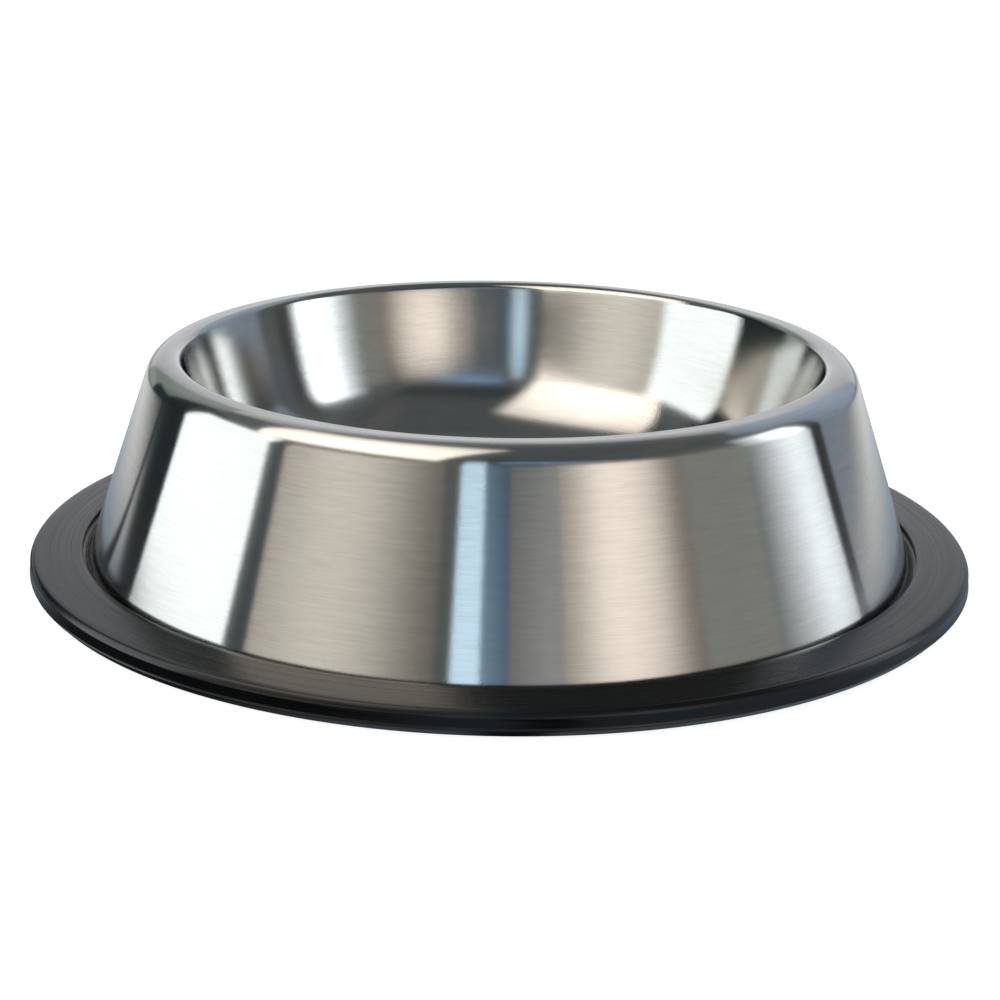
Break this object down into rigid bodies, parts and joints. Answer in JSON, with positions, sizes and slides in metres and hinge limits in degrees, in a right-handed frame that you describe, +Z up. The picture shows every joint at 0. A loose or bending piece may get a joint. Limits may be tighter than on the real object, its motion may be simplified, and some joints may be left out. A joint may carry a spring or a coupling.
{
  "type": "pet bowl",
  "caption": "Non-tip pet bowl: a round basin and a flared conical skirt pressed in one brushed steel sheet, standing in a removable rubber ring.",
  "frame": {"origin": "centre of the ring's sole, on the ground", "axes": "+Z up, along the bowl's axis of revolution; the picture looks along +Y, with +X to its right"},
  "size_m": [0.22, 0.22, 0.0507],
  "materials": {
    "black_rubber": "moulded, semi-matt black",
    "brushed_stainless": "pressed sheet, brushed round its axis, bright"
  },
  "bodies": {
    "ring": {"rubber_ring": "black_rubber"},
    "bowl": {"pressed_bowl": "brushed_stainless"}
  },
  "joints": [
    {"name": "bowl_lift", "type": "slide", "parent": "ring", "child": "bowl", "axis": [0, 0, 1], "range_m": [0, 0.02], "deforming": ["rubber_ring"]}
  ]
}
